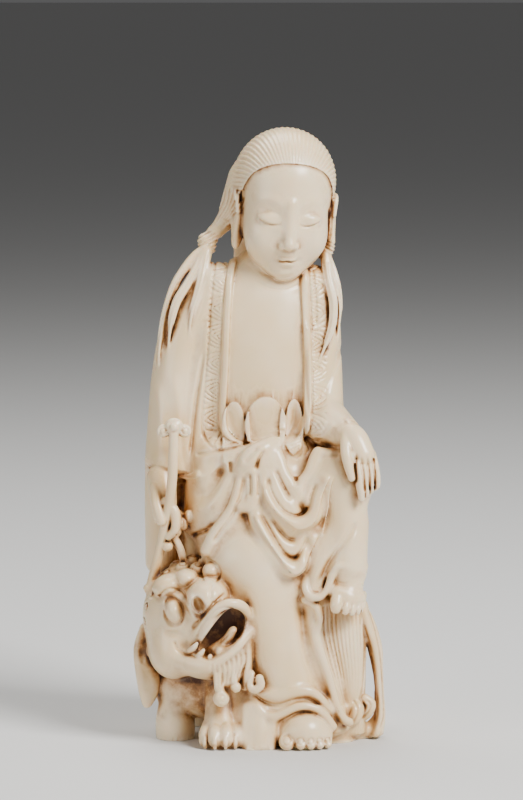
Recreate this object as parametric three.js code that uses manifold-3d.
// A figure seated at ease on a lion, carved from one piece of ivory.
// Millimetres. +Z is up, -Y is the front, +X is to the right of someone who faces it.
// Left and right in the names are the figure's own, and the lion's own.
// The origin is under the middle of the carving, on the surface that it stands on.
import * as THREE from 'three';
import { LoftGeometry } from 'three/addons/geometries/LoftGeometry.js';
import { mergeVertices } from 'three/addons/utils/BufferGeometryUtils.js';
import Module from 'manifold-3d';

const wasm = await Module();
wasm.setup();

// Facets around each kind of form
const BODY_SIDES = 11;
const LIMB_SIDES = 7;
const CORD_SIDES = 4;

// How far each carved layer stands above the body under it
const COLLAR_RISE = 1.6;
const PETAL_RISE = 1.5;
const APRON_RISE = 2;
const LOWER_DRAPE_RISE = 1.8;
const UPPER_DRAPE_RISE = 3.4;
const HEM_RADIUS = 1.6;
const FOLD_RADIUS = 1.3;

// Landmarks of the seated figure
const HEAD = [9, -1, 207];
const HEAD_NOD = 14;
const HEAD_TURN = 8;
const HEAD_ROLL = 3;
const KNOT_RIGHT = [-21, 3, 189.5];
const KNOT_LEFT = [24.5, 3, 187.5];
const KNEE_RIGHT = [-4, -19, 71];
const KNEE_LEFT = [31, -21, 102];
const WAIST_KNOT = [-2.5, -26, 108.3];

// Landmarks of the lion
const LION_SKULL = [-25, -18, 49];
const LION_NOSE = [-19, -40, 60];
const LION_SKULL_RADII = [18, 15, 17];

// What reaches below the standing surface is trimmed off by a block of this size
const TRIM = 160;

const CYCLE = Math.PI * 2;
const FRONT = -60;
// Corners closer than MERGE are one corner, and joins close up edges shorter than CLOSE_UP
const MERGE = 1e-4;
const CLOSE_UP = 0.7;
const rad = THREE.MathUtils.degToRad;
const point = (p) => new THREE.Vector3(p[0], p[1], p[2]);
const each = (count, make) => Array.from({ length: count }, (_, i) => make(i));

// A solid for joining and cutting, from a closed geometry
function solid(geometry) {
  const bare = geometry.clone();
  bare.deleteAttribute('normal');
  bare.deleteAttribute('uv');
  const merged = mergeVertices(bare, MERGE);
  return new wasm.Manifold(new wasm.Mesh({
    numProp: 3,
    tolerance: CLOSE_UP,
    vertProperties: new Float32Array(merged.attributes.position.array),
    triVerts: new Uint32Array(merged.index.array),
  }));
}

const join = (forms) => forms.map(solid).reduce((whole, form) => whole.add(form));

// The geometry of a joined solid
function geometryOf(body) {
  const mesh = body.getMesh();
  const geometry = new THREE.BufferGeometry();
  geometry.setAttribute('position', new THREE.Float32BufferAttribute(mesh.vertProperties, 3));
  geometry.setIndex(new THREE.Uint32BufferAttribute(mesh.triVerts, 1));
  return geometry;
}

// An egg: its centre, three radii, turns in degrees about X, Y and Z, and facets
function egg(centre, radii, turns = [0, 0, 0], around = 8, down = 6) {
  const geometry = new THREE.SphereGeometry(1, around, down);
  geometry.rotateX(Math.PI / 2);
  geometry.scale(...radii);
  geometry.rotateX(rad(turns[0])).rotateY(rad(turns[1])).rotateZ(rad(turns[2]));
  return geometry.translate(...centre);
}

// A small egg for a toe, bud, curl or bead
const bead = (centre, radii, turns) => egg(centre, radii, turns, 6, 4);

// A form swept through stations [x, y, z, half width, half depth], with rounded ends.
// Its width lies along `across`, as nearly as the sweep allows.
function limb(stations, { sides = LIMB_SIDES, steps = 1, across = [1, 0, 0], grow = 0, round = 0.7 } = {}) {
  const path = new THREE.CatmullRomCurve3(stations.map(point), false, 'centripetal');
  const sizes = new THREE.CatmullRomCurve3(
    stations.map((s) => new THREE.Vector3(s[3] + grow, (s[4] ?? s[3]) + grow, 0)),
  );
  const rings = [];
  const addRing = (t, shift, scale) => {
    const along = path.getTangent(t);
    const wide = point(across);
    wide.addScaledVector(along, -wide.dot(along)).normalize();
    const deep = new THREE.Vector3().crossVectors(along, wide);
    const size = sizes.getPoint(t);
    const centre = path.getPoint(t).addScaledVector(along, shift * Math.min(size.x, size.y));
    rings.push(each(sides, (i) => {
      const angle = (i / sides) * CYCLE;
      return centre.clone()
        .addScaledVector(wide, Math.cos(angle) * size.x * scale)
        .addScaledVector(deep, Math.sin(angle) * size.y * scale);
    }));
  };
  const spans = (stations.length - 1) * steps;
  if (round) addRing(0, -round, 0.5);
  for (let i = 0; i <= spans; i += 1) addRing(i / spans, 0, 1);
  if (round) addRing(1, round, 0.5);
  return new THREE.BufferGeometry().copy(new LoftGeometry(rings, { capStart: true, capEnd: true }));
}

// A cord or rolled edge of one radius through a few points
function roll(points, radius, options = {}) {
  const stations = points.map((p) => [p[0], p[1], p[2], radius]);
  return limb(stations, { sides: CORD_SIDES, round: 0, ...options });
}

// A smooth closed outline [x, z] through a few points
function softOutline(points, steps = 2) {
  const curve = new THREE.CatmullRomCurve3(
    points.map(([x, z]) => new THREE.Vector3(x, z, 0)),
    true,
    'centripetal',
  );
  return curve.getPoints(points.length * steps).slice(0, -1).map((p) => [p.x, p.y]);
}

// A block with this outline seen from the front, from well before the carving back to `back`
function block(outline, back = 2) {
  const shape = new THREE.Shape(outline.map(([x, z]) => new THREE.Vector2(x, z)));
  const geometry = new THREE.ExtrudeGeometry(shape, { depth: back - FRONT, bevelEnabled: false });
  return geometry.rotateX(Math.PI / 2).translate(0, back, 0);
}

// The robed trunk, thighs and shins, `grow` mm fatter all round than the body's own surface
function seatedBody(grow = 0) {
  const body = { sides: BODY_SIDES, grow };
  const trunk = limb([
    [-2, 6, 54, 29, 24], [-2, 5, 80, 29, 22], [-2, 3, 102, 26, 19], [-1, 2, 124, 24.5, 17.5],
    [-1, 2, 150, 24.5, 17], [0, 3, 167, 23.5, 14.5], [2, 3, 178, 17, 11], [4, 3, 187, 10, 9],
  ], { ...body, round: 0 });
  const lap = limb([[8, -8, 108, 18, 14], [9, -15, 90, 17, 15], [10, -16, 60, 16, 15]], body);
  const legRight = limb([
    [-10, 8, 76, 19, 17], [-8, -6, 75, 18.5, 17], [KNEE_RIGHT[0], KNEE_RIGHT[1], KNEE_RIGHT[2], 17, 16.5],
    [1, -20, 54, 15.5, 15.5], [8, -21, 28, 14.5, 14.5], [13, -20, 8, 18, 15],
  ], { ...body, steps: 1 });
  const thighLeft = limb([[12, 8, 78, 16, 15], [22, -8, 91, 14, 13], [...KNEE_LEFT, 11.5, 12]], body);
  const shinLeft = limb([[...KNEE_LEFT, 11.5, 12], [31.5, -24, 84, 8, 9], [32, -24, 64, 7.5, 9]], body);
  return [trunk, lap, legRight, thighLeft, shinLeft];
}

const body = join(seatedBody());
const bodyMesh = new THREE.Mesh(geometryOf(body), new THREE.MeshBasicMaterial({ side: THREE.DoubleSide }));
const probe = new THREE.Raycaster();

// The point of the body's front surface at this x and z, raised by `lift`
function onBody([x, z], lift = 0) {
  probe.set(new THREE.Vector3(x, FRONT, z), new THREE.Vector3(0, 1, 0));
  const hit = probe.intersectObject(bodyMesh)[0];
  return [x, (hit ? hit.point.y : 0) - lift, z];
}

// A rolled edge or fold that follows the body's front through these [x, z] points
const trace = (points, radius, lift) => roll(points.map((p) => onBody(p, lift)), radius);

// A carved layer: what lies inside the outline of the body's surface raised by `rise`
const layer = (outline, rise, back) => join(seatedBody(rise)).intersect(solid(block(outline, back)));

// The two collar bands, which frame the bare chest
function collar() {
  const rightBand = [
    [-17, 181], [-20, 160], [-21.5, 135], [-22.7, 120], [-20, 113], [-8, 110], [0, 114],
    [-10, 118], [-12.7, 126], [-12.7, 150], [-9.5, 184],
  ];
  const leftBand = [[14.5, 182], [15.5, 148], [15.2, 124], [11, 115], [3, 110], [14, 107], [18.5, 124], [20.5, 178]];
  return [layer(rightBand, COLLAR_RISE), layer(leftBand, COLLAR_RISE)];
}

// Three petals of the inner dress above the sash
function petals() {
  const middle = softOutline([[1, 113], [-5.5, 120], [-4, 129], [4, 131.5], [8, 125], [7, 118]], 1);
  const right = softOutline([[-14, 122], [-13, 129.5], [-8, 129.8], [-3, 124], [-5, 117], [-11, 117]], 1);
  const left = softOutline([[6, 120], [8.5, 128], [12.5, 132], [13.8, 128], [11.5, 119], [6, 114.5]], 1);
  return [layer(right, PETAL_RISE), layer(left, PETAL_RISE), layer(middle, PETAL_RISE * 1.5)];
}

// The sash, its knot and two hanging tails
function sash() {
  const [x, y, z] = WAIST_KNOT;
  return [
    trace([[-26, 112], [-12, 111.5], [2, 114], [20, 113]], HEM_RADIUS, 0.6),
    egg([x, y, z], [5.4, 3.4, 3.2], [0, -40, 0]),
    limb([[x + 1, y, z - 2, 3, 1.6], [x - 0.5, y - 3, z - 10, 3.6, 1.7], [x - 3.5, y - 6.5, z - 17, 4.6, 1.8]],
      { sides: 6 }),
    limb([[x - 4, y, z - 2, 2.4, 1.4], [x - 4.5, y - 2.5, z - 12, 3.2, 1.5], [x - 10, y - 6, z - 22, 4.4, 1.5],
      [x - 17, y - 4.5, z - 32, 2.6, 1.4]], { sides: 6 }),
  ];
}

// The apron over the right thigh and the two swags of cloth between the knees
function drapes() {
  const apron = [[-11, 112], [-20, 106], [-25.5, 103], [-26.5, 92], [-24.6, 83.5], [-16.5, 89.5], [-12, 94.5], [-9, 103]];
  const lower = [[-2.5, 91], [-0.5, 81], [3.8, 73.5], [8.9, 68], [13, 65.8], [17, 71], [19.8, 78], [21, 87], [9, 92]];
  const upper = [
    [-1, 108], [0.2, 98], [3.6, 92], [7.5, 86.5], [13, 83], [19.5, 84], [22, 90], [24, 99], [27, 111], [13, 113.5],
  ];
  const rolls = [
    [lower.slice(0, 8), HEM_RADIUS, LOWER_DRAPE_RISE],
    [upper.slice(0, 8), HEM_RADIUS, UPPER_DRAPE_RISE],
    [[[2.5, 108], [6, 99], [11.5, 87.5]], FOLD_RADIUS, UPPER_DRAPE_RISE + 0.4],
    [[[6, 111], [9, 103], [13.5, 98], [24, 109]], FOLD_RADIUS, UPPER_DRAPE_RISE + 0.4],
    [[[1.5, 86], [5, 79], [10, 73.5], [14, 75]], FOLD_RADIUS, LOWER_DRAPE_RISE + 0.3],
    [[[-25, 84.2], [-16.5, 90], [-12, 95], [-9.5, 102]], FOLD_RADIUS, APRON_RISE],
    [[[-24, 98], [-17, 101], [-12, 107]], FOLD_RADIUS, APRON_RISE],
  ].map(([points, radius, lift]) => solid(trace(points, radius, lift)));
  return [layer(apron, APRON_RISE), layer(lower, LOWER_DRAPE_RISE), layer(upper, UPPER_DRAPE_RISE), ...rolls];
}

// The robe's lower hems, and the wavy edge that falls from the left foot
function skirt() {
  const flare = limb([[12, -16, 30, 15, 13], [14, -18, 14, 20, 15], [13, -19, -2, 20, 15]], { sides: BODY_SIDES, round: 0 });
  const tab = limb([[-1, -29, 22, 6, 4], [-1.5, -33, 9, 7.4, 5], [-1.5, -35, -2, 7.2, 6]], { round: 0 });
  const hems = [
    [[-6, 23], [-1, 19.5], [10, 17.5], [21, 19.5]],
    [[-4, 16.5], [6, 14.5], [18, 15], [24, 9]],
  ].map((line) => trace(line, HEM_RADIUS, 0.4));
  const edge = roll([
    [16.5, -30, 56], [22.5, -30, 49.5], [20.5, -30, 43], [22.5, -30, 37], [25.7, -29, 28],
    [27.6, -29, 21], [31.5, -28, 5],
  ], 2.1, { sides: 6 });
  return [flare, tab, ...hems, edge];
}

// A foot from heel to toes. Its big toe is on the side that `bigToeSide` gives.
function foot(heel, ball, halfWidth, direction, bigToeSide) {
  const ahead = point(direction).normalize();
  const tip = point(ball).addScaledVector(ahead, 3).toArray();
  const sole = limb([[...heel, halfWidth * 0.75, 5], [...ball, halfWidth, 3.4], [...tip, halfWidth, 2.4]]);
  const side = new THREE.Vector3().crossVectors(ahead, new THREE.Vector3(0, 0, 1)).normalize();
  const toes = each(5, (i) => {
    const root = point(tip).addScaledVector(side, (1 - i / 2) * halfWidth * 0.82 * bigToeSide);
    const end = root.clone().addScaledVector(ahead, 5.2 - i * 0.5);
    return roll([root.toArray(), end.toArray()], i === 0 ? 2.4 : 1.8);
  });
  return [sole, ...toes];
}

const feet = () => [
  ...foot([15, -28, 6.5], [16, -35, 4], 8.4, [0, -1, -0.12], -1),
  ...foot([37, -24, 60], [32, -32, 57.5], 6.2, [-0.3, -0.92, -0.24], -1),
];

// The right sleeve, its hanging back edge and the hand that holds the sceptre
function rightArm() {
  const sleeve = limb([
    [-18, 3, 175, 11, 10], [-26.3, 3, 160, 11, 11.5], [-30.2, 2, 148, 10.6, 12], [-32.6, 0, 132, 10.4, 12.5],
    [-33.6, -4, 104, 11.6, 12.5],
  ], { sides: 10, round: 0.3 });
  const back = limb([[-35, 5, 110, 10, 12], [-37.2, 6, 86, 8.4, 12], [-37.6, 5, 62, 8, 11]]);
  const palm = limb([[-38, -12, 101, 5, 6.5], [-37, -16, 93, 4.5, 6], [-37, -18, 86, 3.6, 5]], { sides: 7 });
  const fingers = each(4, (i) => {
    const y = -21.5 + i * 3.1;
    return roll([[-35.2, y, 89], [-36, y, 79 + i]], 1.8);
  });
  const thumb = roll([[-38.5, -21, 96], [-37.5, -23.5, 90], [-36.5, -24, 85]], 1.9);
  return [sleeve, back, palm, ...fingers, thumb];
}

// The sceptre with its cloud-shaped head, and the stem of buds beside it
function sceptre() {
  const shaft = roll([[-33.2, -23, 121], [-33.7, -23.5, 103], [-36, -20.5, 86], [-42.4, -15, 59]], 1.9);
  const head = bead([-33.2, -23.5, 121.5], [3.4, 2.4, 3]);
  const curls = [-1, 1].map((side) => bead([-33.2 + side * 4, -23.2, 120], [2.8, 2, 2.6]));
  const stem = roll([[-34, -17, 82], [-31, -16.5, 74], [-29.7, -15, 69]], 1.6);
  const buds = each(3, (i) => bead([-27.6 - i * 2.5, -16.5, 86.5 - i * 2.6], [2.2, 2, 2.6]));
  return [shaft, head, ...curls, stem, ...buds];
}

// The left sleeve bent at the elbow, and the hand laid on the raised knee
function leftArm() {
  const upper = limb([[18, 4, 173, 11, 10], [21.4, 3, 156, 9, 10.5], [22.5, -3, 127, 9, 11]], { sides: 10, round: 0.4 });
  const fore = limb([[21, -5, 126, 9, 9.5], [27, -16, 121, 8.4, 8], [32.5, -25, 119, 5.6, 6]]);
  const cuffFolds = each(3, (i) => roll([
    [15 + i * 4, -15 - i * 3.2, 118 - i * 1.2], [20 + i * 3.4, -18 - i * 2.6, 124 - i],
    [27 + i * 2.8, -14 - i * 3, 129.5 - i * 2],
  ], 1.5));
  const palm = limb([[32, -26, 119, 4.8, 5], [36.5, -31, 113.5, 5, 4], [39, -33, 108, 4.4, 3]], { sides: 7 });
  const fingers = each(4, (i) => {
    const root = [35.6 + i * 1.7, -33.6 + i * 0.9, 111.5];
    const end = [37.6 + i * 1.9, -34.6 + i * 2, 96.5 + i * 1.2];
    return roll([root, end], 1.5);
  });
  const thumb = roll([[32.5, -30, 117.5], [32, -33.5, 113], [34, -35.5, 108.5]], 1.6);
  return [upper, fore, ...cuffFolds, palm, ...fingers, thumb];
}

// The head in its own frame, then turned, nodded and tipped into place, with the neck
function head() {
  const parts = [
    egg([0, 3.5, 5.5], [20.3, 22, 21], [0, 0, 0], 13, 8),
    egg([0, -4.5, -7], [17.6, 16.4, 20], [0, 0, 0], 11, 7),
    egg([0, -7, -17], [14, 12.5, 11], [0, 0, 0], 9, 6),
    bead([0, -14.5, -24.6], [6.2, 5.8, 5.2]),
    limb([[0, -18.6, 1, 1.9, 2.2], [0, -21.6, -12, 3.3, 2.4]], { sides: 5 }),
    bead([0, -19.4, -19.6], [4.8, 2.1, 1.9]),
    ...[-1, 1].map((side) => bead([side * 7.6, -18, -2.8], [4.2, 2, 1.9])),
    ...[-1, 1].map((side) => egg([side * 17.6, 1, -4], [2.6, 5, 11], [0, side * -5, side * 16], 6, 5)),
  ];
  const place = new THREE.Matrix4().makeRotationZ(rad(HEAD_TURN))
    .multiply(new THREE.Matrix4().makeRotationY(rad(HEAD_ROLL)))
    .multiply(new THREE.Matrix4().makeRotationX(rad(HEAD_NOD)))
    .setPosition(...HEAD);
  parts.forEach((part) => part.applyMatrix4(place));
  return [...parts, limb([[7, 3, 190, 10, 10], [5, 2, 174, 10.5, 9.5]], { sides: 10, round: 0 })];
}

// Combed hair drawn to a knot on each side, loose strands below, and the fall down the back
function hair() {
  const knots = [KNOT_RIGHT, KNOT_LEFT].map((centre) => bead(centre, [3.3, 3.6, 3.6]));
  const sweepRight = limb([[-7, 4, 217, 7, 9], [-11.6, 5, 206, 7, 8], [-17.6, 4, 196, 3.6, 4], [...KNOT_RIGHT, 2.6, 2.8]]);
  const sweepLeft = limb([[23, 4, 200, 4, 5], [24.5, 4, 194, 2.6, 3], [...KNOT_LEFT, 2.4, 2.6]]);
  const fall = limb([[8, 14, 210, 16, 9], [5, 17, 190, 17, 8], [2, 18, 160, 15, 5], [0, 18, 128, 11, 4]], { sides: 10 });
  const strands = [
    [KNOT_RIGHT, [-30, -2, 181], [-34.5, -4, 173.5], [-38, -6, 162], [-39.6, -6, 152]],
    [KNOT_RIGHT, [-29.7, -7, 173], [-33.8, -9, 163], [-36, -10.5, 151]],
    [KNOT_RIGHT, [-23.2, -6, 176], [-27.5, -10, 160], [-29, -11, 151]],
    [KNOT_LEFT, [29, -3, 176], [29.6, -6, 166], [28.6, -7.5, 157]],
    [KNOT_LEFT, [27.6, -6, 172], [26.8, -9.5, 160], [21.5, -12.5, 147]],
  ].map((strand) => roll(strand, 1.6));
  return [...knots, sweepRight, sweepLeft, fall, ...strands];
}

// The lion's trunk, haunches and legs
function lionBody() {
  const trunk = limb([
    [-30, -2, 30, 13, 16], [-12, 7, 34, 21, 20], [10, 12, 34, 25, 21], [27, 11, 31, 23, 19],
  ], { across: [0, 1, 0], sides: 10 });
  const haunches = [
    egg([22, 28.6, 20], [15, 14, 20], [0, 0, 0], 10, 7),
    egg([25, -10, 24], [11, 12, 22], [0, 0, 0], 7, 5),
    egg([-24, 22, 24], [11, 12, 17], [0, 0, 0], 7, 5),
  ];
  const legs = [
    [[-20, -16, 26, 9, 9], [-17, -25, 14, 7, 7.5], [-16, -32, 3, 7.8, 8.5], [-16, -33, -2, 7.8, 8.5]],
    [[-31, -5, 24, 8, 9], [-32.5, -6, 12, 7, 7.5], [-32.7, -6.5, -2, 7.4, 7.5]],
    [[-26, 20, 22, 8, 9], [-28, 19, -2, 8, 9]],
    [[24, 28, 12, 10, 10], [24, 26, -2, 10, 13]],
    [[26, -12, 14, 9, 9], [28, -15, -2, 9, 10]],
  ].map((leg) => limb(leg, { sides: 6, round: 0 }));
  const claws = each(4, (i) => roll([[-21.5 + i * 3.7, -36.5, 8], [-21.8 + i * 3.8, -41, -2]], 1.9));
  return [trunk, ...haunches, ...legs, ...claws];
}

// The lion's head, cocked to its right. Its open mouth is cut out of the rest.
function lionHead() {
  const [x, y, z] = LION_SKULL;
  const level = { across: [0.8, 0, 0.58], sides: 8 };
  const skull = [
    egg([x, y, z], LION_SKULL_RADII, [0, -38, 0], 12, 8),
    egg([x - 5, y - 6, z - 11], [13, 12, 12.5], [0, -35, 0], 9, 6),
    limb([[x - 1, y - 8, z + 6, 10, 9], [x + 5, y - 17, z + 8.5, 8.4, 6.5]], level),
    limb([[x - 4, y - 8, z - 13, 10, 7], [x + 4, y - 15, z - 13, 9, 5], [x + 12, y - 18, z - 10, 6, 3.4]], level),
  ];
  const mouth = limb([[x + 1, y - 12, z - 6, 9, 3], [x + 8, y - 22, z - 3.5, 11, 4.6]], level);
  const nostril = (side) => [LION_NOSE[0] + side * 4.6, LION_NOSE[1] + 1, LION_NOSE[2] + side * 4, 3.4, 3];
  const features = [
    limb([nostril(-1), [...LION_NOSE, 3.8, 3.6], nostril(1)], { across: [0, 1, 0], sides: 7 }),
    bead([x - 7.8, y - 16.5, z + 4.6], [3.3, 2.8, 3]),
    bead([x + 6.8, y - 10.5, z + 18], [3.1, 2.8, 2.8]),
    roll([[x - 13, y - 11, z + 6], [x - 9, y - 15, z + 10], [x - 2, y - 17, z + 8]], 1.9),
    roll([[x, y - 13, z + 17], [x + 5, y - 10, z + 20.5], [x + 11, y - 10, z + 16]], 1.8),
    roll([[x + 1, y - 21, z + 5.5], [x + 4, y - 22, z + 6.5], [x + 9, y - 20, z + 11], [x + 15, y - 15, z + 9]], 1.8),
    roll([[x - 4, y - 18, z - 12], [x + 4, y - 21, z - 14.5], [x + 13, y - 20, z - 10], [x + 19, y - 17, z - 5]], 1.8),
  ];
  const ear = limb([[x - 15.5, y + 2, z - 4, 3, 2.4], [x - 17.7, y, z - 14, 5, 2.6], [x - 17.7, y - 1, z - 25, 4.6, 2.4],
    [x - 17, y - 1, z - 34, 2, 1.6]]);
  const beard = [
    [[x + 2, y - 18, z - 15], [x + 6, y - 18, z - 22], [x + 6.5, y - 17, z - 29]],
    [[x + 8, y - 19, z - 14], [x + 12, y - 18, z - 20], [x + 13.6, y - 17, z - 25]],
    [[x + 14, y - 18, z - 11], [x + 17, y - 17, z - 18], [x + 20.5, y - 16, z - 23]],
  ].flatMap((strand) => [roll(strand, 2), bead(strand[2], [2.3, 2.3, 2.3])]);
  return { skull, mouth, more: [...features, ear, ...beard] };
}

// Low domed curls in an arc over the lion's crown
function mane() {
  const rows = [{ count: 3, rise: 20 }, { count: 4, rise: -8 }];
  return rows.flatMap(({ count, rise }) => each(count, (i) => {
    const around = rad(-80 + (i * 112) / (count - 1));
    const direction = new THREE.Vector3(
      Math.sin(around) * Math.cos(rad(rise)),
      -Math.sin(rad(rise)),
      Math.cos(around) * Math.cos(rad(rise)),
    ).multiply(point(LION_SKULL_RADII));
    return bead(direction.add(point(LION_SKULL)).toArray(), [4, 3.6, 4]);
  }));
}

// The tail: combed fur beneath the left foot, a curling strand beside it, and two tips
function tail() {
  const fur = each(5, (i) => limb([
    [24.4 + i * 3.2, -19 + i, 53, 2.5, 4], [26.5 + i * 3, -21 + i, 40, 2.4, 4.5], [32 + i, -21 + i * 0.8, 12, 1.6, 3.5],
  ], { sides: 5, round: 0 }));
  const strand = limb([
    [37.5, -17, 53, 2.6, 4], [42, -17, 43, 2, 5], [44.6, -14, 33, 1.6, 5.5], [45.8, -12, 21, 1.6, 6],
    [46.2, -12, 9, 1.9, 6], [43.5, -12, 1, 2, 5], [38, -12, 1, 2, 5],
  ], { sides: 6 });
  const tips = [
    [[36, -20, 20], [37.5, -21, 13], [34.5, -23, 8]],
    [[38, -18, 20], [40.5, -20, 15.5], [38.5, -21.5, 11], [37, -18, 2]],
  ].map((curl) => roll(curl, 2.2));
  return [...fur, strand, ...tips];
}

// The plainer back: the robe's fall over the lion, and its folds
function backOfRobe() {
  const train = limb([[-2, 16, 70, 26, 13], [0, 22, 52, 24, 14], [2, 26, 34, 19, 12]], { sides: 12 });
  const folds = [-1, 0, 1].map((i) => roll([
    [i * 8, 20, 116], [i * 13, 24.5 - Math.abs(i) * 2, 90], [i * 15, 34 - Math.abs(i) * 3.4, 56],
    [i * 12, 38 - Math.abs(i) * 3.6, 32],
  ], 2.4));
  return [train, ...folds];
}

// Everything joined into one solid, flat where it stands
function carving() {
  const lion = lionHead();
  const skull = join(lion.skull).subtract(solid(lion.mouth));
  const rest = join([
    ...sash(), ...skirt(), ...feet(), ...rightArm(), ...sceptre(), ...leftArm(), ...head(), ...hair(),
    ...lionBody(), ...lion.more, ...mane(), ...tail(), ...backOfRobe(),
  ]);
  const floor = new THREE.BoxGeometry(TRIM, TRIM, TRIM).translate(0, 0, -TRIM / 2);
  return [...collar(), ...petals(), ...drapes(), skull, rest]
    .reduce((whole, form) => whole.add(form), body)
    .subtract(solid(floor));
}

const ivory = new THREE.MeshStandardMaterial({ color: 0xe9dcc3, roughness: 0.38, metalness: 0 });
const figure = new THREE.Mesh(geometryOf(carving()), ivory);
figure.name = 'manjushri_on_lion';

const model = new THREE.Group();
model.add(figure);
export default model;
